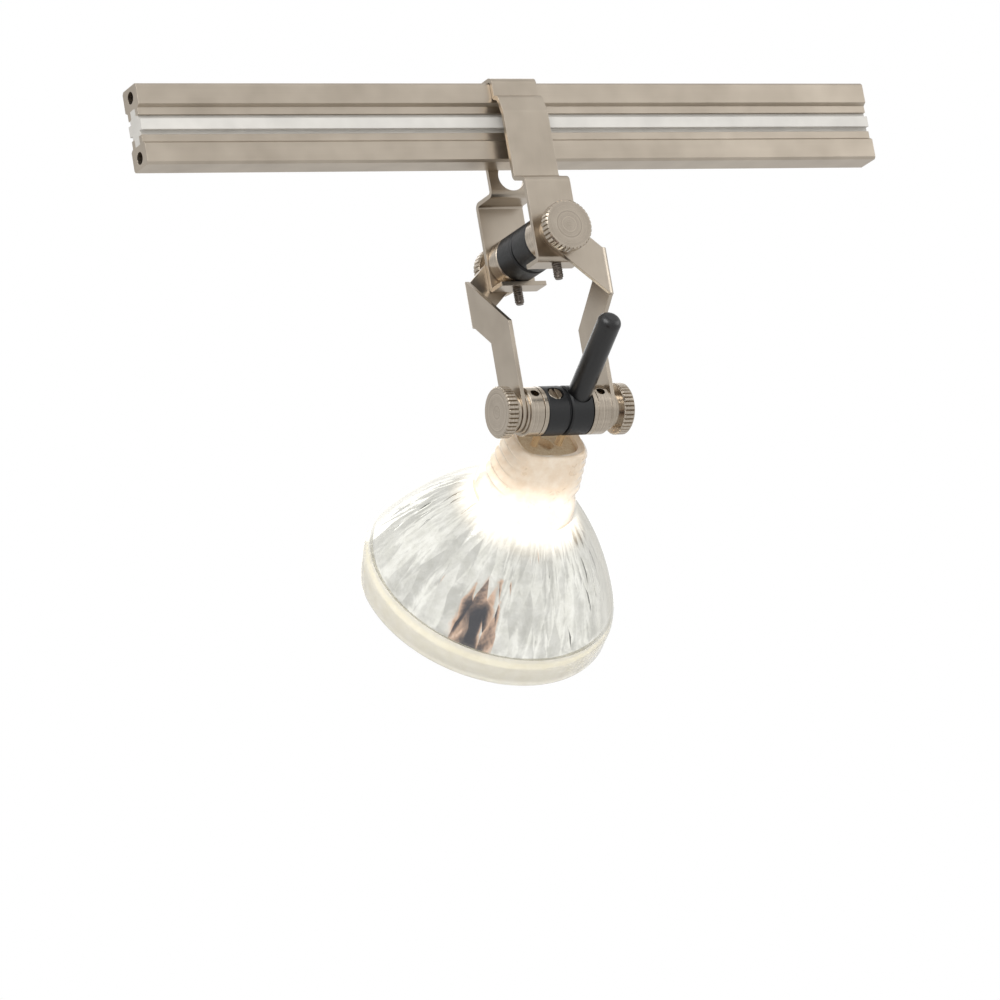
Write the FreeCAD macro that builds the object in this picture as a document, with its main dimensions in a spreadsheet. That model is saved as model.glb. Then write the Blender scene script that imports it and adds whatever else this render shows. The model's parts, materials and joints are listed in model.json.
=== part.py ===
"""Track spotlight: a bare reflector lamp on a yoke that slides along a two-conductor rail.

Millimetres. +X runs along the rail, -Y is the front, +Z is up. The origin is on the rail's centre line,
above the middle of the lamp head. Each sub-part is one object whose Label names its file. Turned pieces
are drawn along their own axis and put in place by their Placement, which follows the sheet.
"""
import FreeCAD, Part
import Sketcher
import os
import re

ORIGIN_GEOMETRY = -1
START = 1
END = 2
CENTRE = 3
TOLERANCE = 1e-6

DRIVING_SIZES = {
    "rail": {
        "rail_half_length": 80.0,
        "rail_half_height": 7.95,
        "rail_half_depth": 3.0,
        "rail_edge_chamfer": 0.45,
        "conductor_step_height": 3.85,
        "conductor_step_drop": 0.5,
        "conductor_recess_depth": 0.8,
        "conductor_foot_height": 1.95,
        "tongue_half_depth": 1.0,
        "tongue_tip_height": 3.5,
        "insulator_half_height": 1.05,
        "insulator_half_depth": 2.6,
        "insulator_web_half_depth": 1.6,
        "joiner_bore_radius": 1.2,
        "joiner_bore_depth": 12.0,
        "joiner_bore_height": 5.9,
    },
    "clip": {
        "leaf_width": 9.8,
        "leaf_thickness": 0.85,
        "leaf_bend": 0.9,
        "leaf_tight_bend": 0.55,
        "slide_gap": 0.05,
        "hook_tip_height": 6.4,
        "hook_lip_height": 4.7,
        "hook_jog_height": 4.1,
        "hook_jog_out": 4.9,
        "panel_top_height": 1.0,
        "panel_out": 5.9,
        "panel_foot_height": -12.4,
        "panel_shoulder_height": -13.7,
        "rear_shelf_height": -12.7,
        "rear_shelf_rise": 0.1,
        "rear_tip_height": -2.6,
        "rear_window_radius": 2.85,
        "rear_window_height": -9.0,
        "tab_length": 4.5,
        "tab_gap": 0.05,
        "tab_screw_radius": 0.95,
        "tab_screw_out": 8.0,
        "tab_screw_projection": 3.0,
        "tab_screw_tip": 2.1,
    },
    "stacks": {
        "upper_rod_height": -24.7,
        "lower_rod_height": -57.0,
        "stack_radius": 4.75,
        "spigot_radius": 2.5,
        "boss_radius": 2.5,
        "stub_radius": 1.2,
        "stub_length": 1.3,
        "spacer_half_width": 0.25,
        "spacer_radius": 4.2,
        "sleeve_edge": 0.3,
        "collar_edge": 0.2,
        "screw_bore_radius": 1.55,
        "upper_sleeve_end": 5.9,
        "upper_collar_end": 9.2,
        "upper_boss_end": 10.6,
        "upper_bore_end": 4.5,
        "lower_sleeve_end": 5.0,
        "lower_ring_end": 5.8,
        "lower_collar_end": 8.8,
        "lower_boss_end": 10.0,
        "lower_bore_end": 4.6,
        "shoulder_washer_radius": 4.3,
        "running_gap": 0.05,
        "tommy_hole_radius": 0.85,
        "tommy_hole_out": 7.2,
        "drill_margin": 1.0,
    },
    "fork": {
        "fork_thickness": 0.8,
        "fork_bend": 0.5,
        "fork_slope": 41.5,
        "arm_half_width": 3.4,
        "leg_half_width": 3.9,
        "fork_inner_face": 9.4,
        "strip_end_share": 0.99,
        "trim_margin": 3.0,
    },
    "thumbscrews": {
        "knob_radius": 4.95,
        "knob_thickness": 2.3,
        "knob_edge": 0.3,
        "knurl_count": 36,
        "knurl_depth": 0.42,
        "knurl_half_width": 0.36,
        "shank_radius": 1.5,
        "shank_length": 6.2,
        "washer_bore_radius": 1.6,
        "upper_washer_radius": 3.6,
        "upper_washer_thickness": 1.95,
        "lower_washer_radius": 3.6,
        "lower_washer_thickness": 1.25,
    },
    "socket": {
        "pin_spacing": 5.33,
        "pin_radius": 0.75,
        "pin_hole_radius": 0.8,
        "pin_entry_radius": 1.15,
        "pin_hole_tip": 0.1,
        "pin_tip": 0.35,
        "clamp_screw_radius": 1.0,
        "clamp_head_radius": 1.55,
        "clamp_head_seat": 3.05,
        "clamp_head_top": 4.5,
        "clamp_slot_width": 0.5,
        "clamp_slot_depth": 0.6,
        "head_clearance": 0.08,
        "lever_radius": 2.3,
        "lever_foot": 3.3,
        "lever_tip": 23.5,
        "lever_round": 1.5,
        "lever_stud_radius": 1.4,
        "lever_stud_tip": 9.0,
    },
    "lamp": {
        "lamp_tilt": 58.5,
        "neck_back": 7.2,
        "neck_front": 21.0,
        "neck_back_half_width": 7.5,
        "neck_back_half_depth": 5.6,
        "neck_front_half_width": 9.5,
        "neck_front_half_depth": 7.4,
        "neck_corner_share": 0.6,
        "bowl_back": 19.6,
        "bowl_eye_radius": 3.0,
        "rim_edge": 0.5,
        "bowl_back_radius": 9.0,
        "bowl_front": 42.0,
        "bowl_front_radius": 25.0,
        "bowl_arc_radius": 63.0,
        "inner_back": 22.4,
        "inner_back_radius": 8.2,
        "inner_front_radius": 23.7,
        "inner_arc_radius": 55.0,
        "rim_front": 48.5,
        "rim_radius": 25.6,
        "rim_ledge": 46.3,
        "rim_bore_radius": 24.0,
        "front_glass_thickness": 1.6,
        "glass_gap": 0.05,
        "base_half_width": 6.0,
        "base_half_depth": 3.9,
        "base_corner_share": 0.95,
        "base_back": 8.6,
        "base_dimple_radius": 1.5,
        "base_dimple_depth": 1.6,
        "pin_root": 12.0,
        "seal_half_width": 3.4,
        "seal_half_depth": 1.3,
        "seal_root": 15.0,
        "seal_tip_gap": 0.5,
        "capsule_radius": 4.4,
        "capsule_lift": 0.6,
        "capsule_dome": 37.5,
        "capsule_round_share": 0.85,
        "hollow_radius": 3.1,
        "hollow_front": 35.0,
        "filament_radius": 0.9,
        "filament_root": 26.6,
        "filament_back": 29.5,
        "filament_front": 34.0,
        "filament_lead_radius": 0.2,
        "filament_lead_share": 0.6,
    },
}

ALIASES = {alias for sizes in DRIVING_SIZES.values() for alias in sizes}

doc = FreeCAD.newDocument("track_spotlight")
sheet = doc.addObject("Spreadsheet::Sheet", "sizes")
sub_parts = []


def fill_sheet():
    """Write every driving size as a plain number with an alias."""
    row = 1
    for group, sizes in DRIVING_SIZES.items():
        sheet.set(f"A{row}", group)
        row += 1
        for alias, size in sizes.items():
            sheet.set(f"A{row}", alias)
            sheet.set(f"B{row}", str(size))
            sheet.setAlias(f"B{row}", alias)
            row += 1
    doc.recompute()


def bound(formula):
    """Turn a formula of plain size names into an expression that reads the sheet."""

    def read_sheet(word):
        return f"sizes.{word[0]}" if word[0] in ALIASES else word[0]

    return re.sub("[a-z_]+", read_sheet, formula)


def with_unit(formula, unit="mm"):
    """Turn a formula into an expression with a unit, for properties that insist on one."""
    return f"({bound(formula)}) * 1 {unit}"


def value(formula):
    """Work out a formula of size names as a number."""
    return float(sheet.evalExpression(bound(formula)))


# ---------------------------------------------------------------- building blocks


def new_body(label):
    """Start a sub-part made of PartDesign features."""
    body = doc.addObject("PartDesign::Body", label)
    body.Label = label
    sub_parts.append(body)
    return body


def place(piece, height="0", turn_axis=(0, 0, 1), turn="0"):
    """Put a sub-part at a height on the Z axis, turned about an axis through that point."""
    piece.Placement = FreeCAD.Placement(
        FreeCAD.Vector(0, 0, value(height)),
        FreeCAD.Rotation(FreeCAD.Vector(*turn_axis), value(turn)),
    )
    piece.setExpression("Placement.Base.z", with_unit(height))
    if turn != "0":
        piece.setExpression("Placement.Rotation.Angle", with_unit(turn, "deg"))


def new_sketch(body, role, name, offset="0"):
    """Make a sketch on one of the body's own origin planes, moved along the plane's normal."""
    plane = next(item for item in body.Origin.OriginFeatures if item.Role == role)
    sketch = body.newObject("Sketcher::SketchObject", name)
    sketch.AttachmentSupport = [(plane, "")]
    sketch.MapMode = "FlatFace"
    if offset != "0":
        sketch.setExpression("AttachmentOffset.Base.z", with_unit(offset))
    return sketch


def pin_point(sketch, geometry, point, place_formulas):
    """Fix a point of the sketch at a pair of formulas."""
    for kind, formula in zip(("DistanceX", "DistanceY"), place_formulas):
        constraint = sketch.addConstraint(
            Sketcher.Constraint(kind, ORIGIN_GEOMETRY, START, geometry, point, value(formula))
        )
        sketch.setExpression(f"Constraints[{constraint}]", bound(formula))


def draw_lines(sketch, corners, closed=True):
    """Draw straight lines through corners given as pairs of formulas, and return the first line's index."""
    spots = [FreeCAD.Vector(value(across), value(up), 0) for across, up in corners]
    lines = len(corners) if closed else len(corners) - 1
    first = sketch.GeometryCount
    for number in range(lines):
        sketch.addGeometry(Part.LineSegment(spots[number], spots[(number + 1) % len(spots)]))
    joints = lines if closed else lines - 1
    for number in range(joints):
        following = first + (number + 1) % lines
        sketch.addConstraint(Sketcher.Constraint("Coincident", first + number, END, following, START))
    for number in range(lines):
        pin_point(sketch, first + number, START, corners[number])
    if not closed:
        pin_point(sketch, first + lines - 1, END, corners[-1])
    return first


def round_corner(sketch, line, radius):
    """Replace the corner at the end of a line by an arc of a bound radius."""
    sketch.fillet(line, END, value(radius), True, True)
    arc = next(
        number
        for number in range(sketch.GeometryCount - 1, -1, -1)
        if sketch.Geometry[number].TypeId == "Part::GeomArcOfCircle"
    )
    constraint = sketch.addConstraint(Sketcher.Constraint("Radius", arc, value(radius)))
    sketch.setExpression(f"Constraints[{constraint}]", bound(radius))


def draw_box(sketch, left, right, low, high):
    """Draw an upright rectangle."""
    return draw_lines(sketch, [(left, low), (right, low), (right, high), (left, high)])


def draw_circle(sketch, across, up, radius):
    """Draw a circle with a bound centre and radius."""
    centre = FreeCAD.Vector(value(across), value(up), 0)
    circle = sketch.addGeometry(Part.Circle(centre, FreeCAD.Vector(0, 0, 1), value(radius)))
    pin_point(sketch, circle, CENTRE, (across, up))
    constraint = sketch.addConstraint(Sketcher.Constraint("Radius", circle, value(radius)))
    sketch.setExpression(f"Constraints[{constraint}]", bound(radius))


def pad(body, sketch, length, symmetric=False, reverse=False):
    """Extrude a sketch to a bound length."""
    feature = body.newObject("PartDesign::Pad", sketch.Name + "_pad")
    feature.Profile = sketch
    feature.setExpression("Length", bound(length))
    feature.SideType = "Symmetric" if symmetric else "One side"
    feature.Reversed = reverse
    doc.recompute()
    return feature


def cut_away(body, sketch, length=None, reverse=False):
    """Cut a sketch out of the body, right through or to a bound depth, and make sure that it cut."""
    before = body.Shape.Volume
    feature = body.newObject("PartDesign::Pocket", sketch.Name + "_pocket")
    feature.Profile = sketch
    if length is None:
        feature.Type = "ThroughAll"
        feature.SideType = "Symmetric"
    else:
        feature.setExpression("Length", bound(length))
        feature.Reversed = reverse
    doc.recompute()
    if body.Shape.Volume >= before:
        raise RuntimeError(f"{feature.Name} removes nothing")
    return feature


def revolve(body, sketch, kind="PartDesign::Revolution", axis="H_Axis"):
    """Spin a sketch a full turn about one of its own axes."""
    feature = body.newObject(kind, sketch.Name + "_turn")
    feature.Profile = sketch
    feature.ReferenceAxis = (sketch, [axis])
    feature.Angle = 360
    doc.recompute()
    return feature


def break_edges(body, kind, size, choose):
    """Fillet or chamfer the edges of the body's tip that a test picks."""
    base = body.Tip
    names = [f"Edge{number}" for number, edge in enumerate(base.Shape.Edges, 1) if choose(edge)]
    feature = body.newObject(f"PartDesign::{kind}", f"{body.Name}_{kind.lower()}")
    feature.Base = (base, names)
    feature.setExpression("Radius" if kind == "Fillet" else "Size", bound(size))
    doc.recompute()
    return feature


def is_circle(edge, radius):
    """Tell whether an edge is a full circle of a radius."""
    full = edge.Curve.TypeId == "Part::GeomCircle" and edge.isClosed()
    return full and abs(edge.Curve.Radius - value(radius)) < TOLERANCE


def bent_sheet(body, path_name, corners, bends):
    """Sweep the clip leaf's rectangular section along a bent path in the YZ plane."""
    path = new_sketch(body, "YZ_Plane", path_name)
    draw_lines(path, corners, closed=False)
    for line, radius in enumerate(bends):
        round_corner(path, line, radius)
    doc.recompute()
    end_across, end_up = corners[0]
    section = new_sketch(body, "XY_Plane", path_name + "_section", offset=end_up)
    draw_box(
        section,
        "-leaf_width / 2",
        "leaf_width / 2",
        f"{end_across} - leaf_thickness / 2",
        f"{end_across} + leaf_thickness / 2",
    )
    doc.recompute()
    sweep = body.newObject("PartDesign::AdditivePipe", path_name + "_sweep")
    sweep.Profile = section
    sweep.Spine = path
    doc.recompute()


def turned(label, corners, role="XZ_Plane"):
    """Turn a closed profile of (distance along the axis, radius) corners about its axis."""
    body = new_body(label)
    profile = new_sketch(body, role, label + "_profile")
    draw_lines(profile, corners)
    revolve(body, profile)
    return body


# ---------------------------------------------------------------- rail


def conductor(label, turn):
    """One extruded conductor: a stepped bar with a slot in its inner edge for the insulator's tongue."""
    body = new_body(label)
    profile = new_sketch(body, "YZ_Plane", label + "_profile", offset="-rail_half_length")
    recess = "rail_half_depth - conductor_recess_depth"
    step_foot = "conductor_step_height - conductor_step_drop"
    half = [
        ("rail_half_depth - rail_edge_chamfer", "rail_half_height"),
        ("rail_half_depth", "rail_half_height - rail_edge_chamfer"),
        ("rail_half_depth", "conductor_step_height"),
        (recess, step_foot),
        (recess, "conductor_foot_height"),
        ("tongue_half_depth", "conductor_foot_height"),
        ("tongue_half_depth", "tongue_tip_height"),
    ]
    mirrored = [(f"-({across})", up) for across, up in reversed(half)]
    draw_lines(profile, half + mirrored)
    pad(body, profile, "rail_half_length * 2")
    for end, offset, reverse in (("left", "-rail_half_length", True), ("right", "rail_half_length", False)):
        bore = new_sketch(body, "YZ_Plane", f"{label}_{end}_bore", offset=offset)
        draw_circle(bore, "0", "joiner_bore_height", "joiner_bore_radius")
        cut_away(body, bore, "joiner_bore_depth", reverse=reverse)
    place(body, turn_axis=(1, 0, 0), turn=turn)


def rail_insulator():
    """The moulded strip between the conductors, with a tongue up into each of them."""
    body = new_body("rail_insulator")
    profile = new_sketch(body, "YZ_Plane", "insulator_profile", offset="-rail_half_length")
    quarter = [
        ("insulator_half_depth", "insulator_half_height"),
        ("insulator_web_half_depth", "insulator_half_height"),
        ("insulator_web_half_depth", "conductor_foot_height"),
        ("tongue_half_depth", "conductor_foot_height"),
        ("tongue_half_depth", "tongue_tip_height"),
    ]
    upper_left = [(f"-{across}", up) for across, up in reversed(quarter)]
    lower_left = [(f"-{across}", f"-{up}") for across, up in quarter]
    lower_right = [(across, f"-{up}") for across, up in reversed(quarter)]
    draw_lines(profile, quarter + upper_left + lower_left + lower_right)
    pad(body, profile, "rail_half_length * 2")


# ---------------------------------------------------------------- clip leaves


LEAF_MIDDLE = "(upper_collar_end + leaf_thickness / 2)"
TAB_MIDDLE = "(upper_rod_height - stack_radius - tab_gap - leaf_thickness / 2)"
RAIL_SIDE = "(rail_half_depth + slide_gap + leaf_thickness / 2)"


def pierce_leaf(body, side):
    """Cut the hole for the terminal's boss and the tapped hole in the tab."""
    boss_hole = new_sketch(body, "XZ_Plane", body.Name + "_boss_hole")
    draw_circle(boss_hole, "0", "upper_rod_height", "boss_radius")
    cut_away(body, boss_hole)
    above_tab = f"{TAB_MIDDLE} + leaf_thickness"
    tab_hole = new_sketch(body, "XY_Plane", body.Name + "_tab_hole", offset=above_tab)
    draw_circle(tab_hole, "0", f"{side} * tab_screw_out", "tab_screw_radius")
    cut_away(body, tab_hole, "leaf_thickness * 2")


def front_clip_leaf():
    """The leaf that hooks over the rail and carries the upper conductor's current down the front."""
    body = new_body("front_clip_leaf")
    hook_top = "rail_half_height + slide_gap + leaf_thickness / 2"
    corners = [
        (RAIL_SIDE, "hook_tip_height"),
        (RAIL_SIDE, hook_top),
        (f"-{RAIL_SIDE}", hook_top),
        (f"-{RAIL_SIDE}", "hook_lip_height"),
        ("-hook_jog_out", "hook_jog_height"),
        ("-panel_out", "panel_top_height"),
        ("-panel_out", "panel_foot_height"),
        (f"-{LEAF_MIDDLE}", "panel_shoulder_height"),
        (f"-{LEAF_MIDDLE}", TAB_MIDDLE),
        (f"-{LEAF_MIDDLE} + tab_length", TAB_MIDDLE),
    ]
    bends = ["leaf_bend"] * 2 + ["leaf_tight_bend"] * 2 + ["leaf_bend"] * 3 + ["leaf_tight_bend"]
    bent_sheet(body, "front_leaf", corners, bends)
    pierce_leaf(body, "-1")


def rear_clip_leaf():
    """The leaf that presses on the lower conductor from behind, with a round window under the rail."""
    body = new_body("rear_clip_leaf")
    corners = [
        (RAIL_SIDE, "rear_tip_height"),
        (RAIL_SIDE, "rear_shelf_height + rear_shelf_rise"),
        (LEAF_MIDDLE, "rear_shelf_height"),
        (LEAF_MIDDLE, TAB_MIDDLE),
        (f"{LEAF_MIDDLE} - tab_length", TAB_MIDDLE),
    ]
    bent_sheet(body, "rear_leaf", corners, ["leaf_bend"] * 2 + ["leaf_tight_bend"])
    window = new_sketch(body, "XZ_Plane", "rear_window")
    draw_circle(window, "0", "rear_window_height", "rear_window_radius")
    cut_away(body, window)
    pierce_leaf(body, "1")


def tab_screw(label, side):
    """A small headless screw that comes up through the tab into the collar."""
    screw = doc.addObject("Part::Cylinder", label)
    screw.Label = label
    screw.setExpression("Radius", bound("tab_screw_radius"))
    top = "upper_rod_height - tab_screw_tip"
    foot = f"({TAB_MIDDLE} - leaf_thickness / 2 - tab_screw_projection)"
    screw.setExpression("Height", bound(f"{top} - {foot}"))
    screw.setExpression("Placement.Base.y", with_unit(f"{side} * tab_screw_out"))
    screw.setExpression("Placement.Base.z", with_unit(foot))
    sub_parts.append(screw)


# ---------------------------------------------------------------- rod stacks


def terminal_profile(collar_start, collar_end, boss_end, bore_end):
    """Outline of a turned terminal: a spigot, a collar, a boss, a tapped bore and a hole for the stub."""
    return [
        ("spacer_half_width", "stub_radius"),
        ("spacer_half_width", "spigot_radius"),
        (collar_start, "spigot_radius"),
        (collar_start, "stack_radius - collar_edge"),
        (f"{collar_start} + collar_edge", "stack_radius"),
        (f"{collar_end} - collar_edge", "stack_radius"),
        (collar_end, "stack_radius - collar_edge"),
        (collar_end, "boss_radius"),
        (boss_end, "boss_radius"),
        (boss_end, "screw_bore_radius"),
        (bore_end, "screw_bore_radius"),
        (bore_end, "0"),
        ("spacer_half_width + stub_length", "0"),
        ("spacer_half_width + stub_length", "stub_radius"),
    ]


def upper_terminal(label, turn):
    """The collar that clamps one clip leaf, with the tapped bore for its thumbscrew."""
    outline = terminal_profile("upper_sleeve_end", "upper_collar_end", "upper_boss_end", "upper_bore_end")
    body = turned(label, outline, role="YZ_Plane")
    hole = new_sketch(body, "XY_Plane", label + "_tab_hole")
    draw_circle(hole, "0", "tab_screw_out", "tab_screw_radius")
    cut_away(body, hole, "stack_radius + drill_margin")
    place(body, "upper_rod_height", turn=turn)


def sleeve_profile(sleeve_end):
    """Outline of a black insulating sleeve with broken edges."""
    return [
        ("spacer_half_width", "spigot_radius"),
        ("spacer_half_width", "stack_radius - sleeve_edge"),
        ("spacer_half_width + sleeve_edge", "stack_radius"),
        (f"{sleeve_end} - sleeve_edge", "stack_radius"),
        (sleeve_end, "stack_radius - sleeve_edge"),
        (sleeve_end, "spigot_radius"),
    ]


def ring_profile(start, end, bore_radius, outer_radius):
    """Outline of a plain ring between two distances along the axis."""
    return [(start, bore_radius), (start, outer_radius), (end, outer_radius), (end, bore_radius)]


def spacer(label, role):
    """The insulating disc that keeps the two terminals apart, with a stub into each of them."""
    reach = "(spacer_half_width + stub_length)"
    outline = [
        (f"-{reach}", "0"),
        (f"-{reach}", "stub_radius"),
        ("-spacer_half_width", "stub_radius"),
        ("-spacer_half_width", "spacer_radius"),
        ("spacer_half_width", "spacer_radius"),
        ("spacer_half_width", "stub_radius"),
        (reach, "stub_radius"),
        (reach, "0"),
    ]
    return turned(label, outline, role)


def lower_terminal(label, side):
    """The collar that one fork leg turns on, cross-drilled for a lamp pin and for what clamps it."""
    outline = terminal_profile("lower_ring_end", "lower_collar_end", "lower_boss_end", "lower_bore_end")
    signed = [(f"{side} * ({along})", radius) for along, radius in outline]
    body = turned(label, signed)
    pin_hole = new_sketch(body, "XY_Plane", label + "_pin_hole", offset="pin_hole_tip")
    draw_circle(pin_hole, f"{side} * pin_spacing / 2", "0", "pin_hole_radius")
    cut_away(body, pin_hole, "stack_radius + drill_margin")
    screw_hole = new_sketch(body, "XY_Plane", label + "_screw_hole")
    draw_circle(screw_hole, f"{side} * pin_spacing / 2", "0", "clamp_screw_radius")
    cut_away(body, screw_hole, "stack_radius + drill_margin", reverse=True)
    tommy_hole = new_sketch(body, "XY_Plane", label + "_tommy_hole")
    draw_circle(tommy_hole, f"{side} * tommy_hole_out", "0", "tommy_hole_radius")
    cut_away(body, tommy_hole, "stack_radius + drill_margin", reverse=True)
    tilt_with_lamp(body)


def lower_sleeve(label, side, seat_radius, seat_height):
    """A black sleeve over one terminal, open to the lamp pin below and to a seat above."""
    outline = [(f"{side} * ({along})", radius) for along, radius in sleeve_profile("lower_sleeve_end")]
    body = turned(label, outline)
    pin_hole = new_sketch(body, "XY_Plane", label + "_pin_entry")
    draw_circle(pin_hole, f"{side} * pin_spacing / 2", "0", "pin_entry_radius")
    cut_away(body, pin_hole, "stack_radius + drill_margin")
    through = new_sketch(body, "XY_Plane", label + "_screw_way")
    draw_circle(through, f"{side} * pin_spacing / 2", "0", "clamp_screw_radius")
    cut_away(body, through, "stack_radius + drill_margin", reverse=True)
    seat = new_sketch(body, "XY_Plane", label + "_seat", offset=seat_height)
    draw_circle(seat, f"{side} * pin_spacing / 2", "0", seat_radius)
    cut_away(body, seat, "stack_radius", reverse=True)
    tilt_with_lamp(body)


def tilt_with_lamp(piece):
    """Put a piece drawn about the lamp's own axis at the lower rod, tilted as the lamp is."""
    place(piece, "lower_rod_height", turn_axis=(1, 0, 0), turn="lamp_tilt")


def pin_clamp_screw():
    """The slotted screw that holds the left lamp pin."""
    outline = [
        ("pin_hole_tip", "0"),
        ("pin_hole_tip", "clamp_screw_radius"),
        ("clamp_head_seat", "clamp_screw_radius"),
        ("clamp_head_seat", "clamp_head_radius"),
        ("clamp_head_top - collar_edge", "clamp_head_radius"),
        ("clamp_head_top", "clamp_head_radius - collar_edge"),
        ("clamp_head_top", "0"),
    ]
    body = upright("pin_clamp_screw", outline, "-1")
    slot = new_sketch(body, "XY_Plane", "clamp_slot", offset="clamp_head_top")
    draw_box(
        slot,
        "-pin_spacing / 2 - clamp_slot_width / 2",
        "-pin_spacing / 2 + clamp_slot_width / 2",
        "-clamp_head_radius * 2",
        "clamp_head_radius * 2",
    )
    cut_away(body, slot, "clamp_slot_depth")
    tilt_with_lamp(body)


def upright(label, corners, side):
    """Turn a profile of (height, radius) corners about the upright line through one lamp pin."""
    body = new_body(label)
    profile = new_sketch(body, "XZ_Plane", label + "_profile")
    axis_at = f"{side} * pin_spacing / 2"
    draw_lines(profile, [(f"{axis_at} + {radius}", height) for height, radius in corners])
    axis_line = profile.addGeometry(
        Part.LineSegment(FreeCAD.Vector(value(axis_at), 0, 0), FreeCAD.Vector(value(axis_at), 1, 0)), True
    )
    pin_point(profile, axis_line, START, (axis_at, "0"))
    pin_point(profile, axis_line, END, (axis_at, "1"))
    revolve(body, profile, axis="Axis0")
    return body


def lever_stud():
    """The threaded stud that clamps the right lamp pin and carries the aiming lever."""
    outline = [
        ("pin_hole_tip", "0"),
        ("pin_hole_tip", "clamp_screw_radius"),
        ("lever_foot", "clamp_screw_radius"),
        ("lever_foot", "lever_stud_radius"),
        ("lever_stud_tip", "lever_stud_radius"),
        ("lever_stud_tip", "0"),
    ]
    tilt_with_lamp(upright("lever_stud", outline, "1"))


def aiming_lever():
    """The black insulated handle that tilts the lamp, opposite to the lamp's axis."""
    outline = [
        ("lever_foot", "lever_stud_radius"),
        ("lever_foot", "lever_radius"),
        ("lever_tip", "lever_radius"),
        ("lever_tip", "0"),
        ("lever_stud_tip", "0"),
        ("lever_stud_tip", "lever_stud_radius"),
    ]
    body = upright("aiming_lever", outline, "1")
    tip = value("lever_tip")

    def at_tip(edge):
        return is_circle(edge, "lever_radius") and abs(edge.Curve.Center.z - tip) < TOLERANCE

    break_edges(body, "Fillet", "lever_round", at_tip)
    tilt_with_lamp(body)


# ---------------------------------------------------------------- fork strips


def fork_strip(label, turn):
    """A strip that slants down from the upper rod, folds a quarter turn and hangs to the lower rod.

    It is an upright bent sheet, trimmed first to its outline from the front and then from the side.
    """
    body = new_body(label)
    near = "(upper_collar_end + leaf_thickness + running_gap)"
    far = f"({near} + fork_thickness)"
    outer = "(fork_inner_face + fork_thickness)"
    top = "(upper_rod_height + leg_half_width + trim_margin)"
    foot = "(lower_rod_height - leg_half_width - trim_margin)"
    plan = new_sketch(body, "XY_Plane", label + "_plan", offset=foot)
    reach = "(leg_half_width + trim_margin)"
    first = draw_lines(
        plan,
        [
            (f"-{reach}", f"-{far}"),
            (outer, f"-{far}"),
            (outer, reach),
            ("fork_inner_face", reach),
            ("fork_inner_face", f"-{near}"),
            (f"-{reach}", f"-{near}"),
        ],
    )
    round_corner(plan, first, "fork_bend + fork_thickness")
    round_corner(plan, first + 3, "fork_bend")
    pad(body, plan, f"{top} - {foot}")

    slant = "tan(fork_slope * 1 deg)"
    lean = "sin(fork_slope * 1 deg)"
    upright_share = "cos(fork_slope * 1 deg)"
    half_height = f"arm_half_width / {upright_share}"
    fold_across = "(fork_inner_face - fork_bend)"
    fold_upper = f"(upper_rod_height + {half_height} - {fold_across} * {slant})"
    fold_lower = f"(upper_rod_height - {half_height} - {fold_across} * {slant})"
    end_across = f"arm_half_width * {upright_share}"
    end_up = f"arm_half_width * {lean}"
    below = f"({foot} - trim_margin)"
    above = f"({top} + trim_margin)"
    front = new_sketch(body, "XZ_Plane", label + "_front_trim")
    beyond = f"({outer} + trim_margin)"
    first = draw_lines(
        front,
        [
            (f"-{end_across} + {end_up}", f"upper_rod_height + {end_up} + {end_across}"),
            (fold_across, fold_upper),
            (beyond, fold_upper),
            (beyond, below),
            (fold_across, below),
            (fold_across, fold_lower),
            (f"-{end_across} - {end_up}", f"upper_rod_height + {end_up} - {end_across}"),
        ],
    )
    round_corner(front, first + 6, "arm_half_width * strip_end_share")
    round_corner(front, first + 5, "arm_half_width * strip_end_share")
    draw_circle(front, "0", "upper_rod_height", "boss_radius + running_gap")
    margin_box(front, top, foot)
    cut_away(body, front)

    fold_along = f"(-{near} + fork_bend)"
    side = new_sketch(body, "YZ_Plane", label + "_side_trim")
    first = draw_lines(
        side,
        [
            (f"-{far} - trim_margin", above),
            (fold_along, above),
            (fold_along, fold_upper),
            ("leg_half_width", f"{fold_upper} - (leg_half_width - {fold_along}) * {slant}"),
            ("leg_half_width", "lower_rod_height - leg_half_width"),
            ("-leg_half_width", "lower_rod_height - leg_half_width"),
            ("-leg_half_width", f"{fold_lower} - (-leg_half_width - {fold_along}) * {slant}"),
            (fold_along, fold_lower),
            (f"-{far} - trim_margin", fold_lower),
        ],
    )
    round_corner(side, first + 3, "leg_half_width * strip_end_share")
    round_corner(side, first + 4, "leg_half_width * strip_end_share")
    draw_circle(side, "0", "lower_rod_height", "boss_radius + running_gap")
    margin_box(side, top, foot)
    cut_away(body, side)
    place(body, turn=turn)


def margin_box(sketch, top, foot):
    """Draw the rectangle whose inside, outside the strip's outline, is trimmed off."""
    reach = "(fork_inner_face + fork_thickness + trim_margin * 2)"
    draw_box(sketch, f"-{reach}", reach, f"{foot} - trim_margin * 2", f"{top} + trim_margin * 2")


# ---------------------------------------------------------------- thumbscrews and washers


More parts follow.
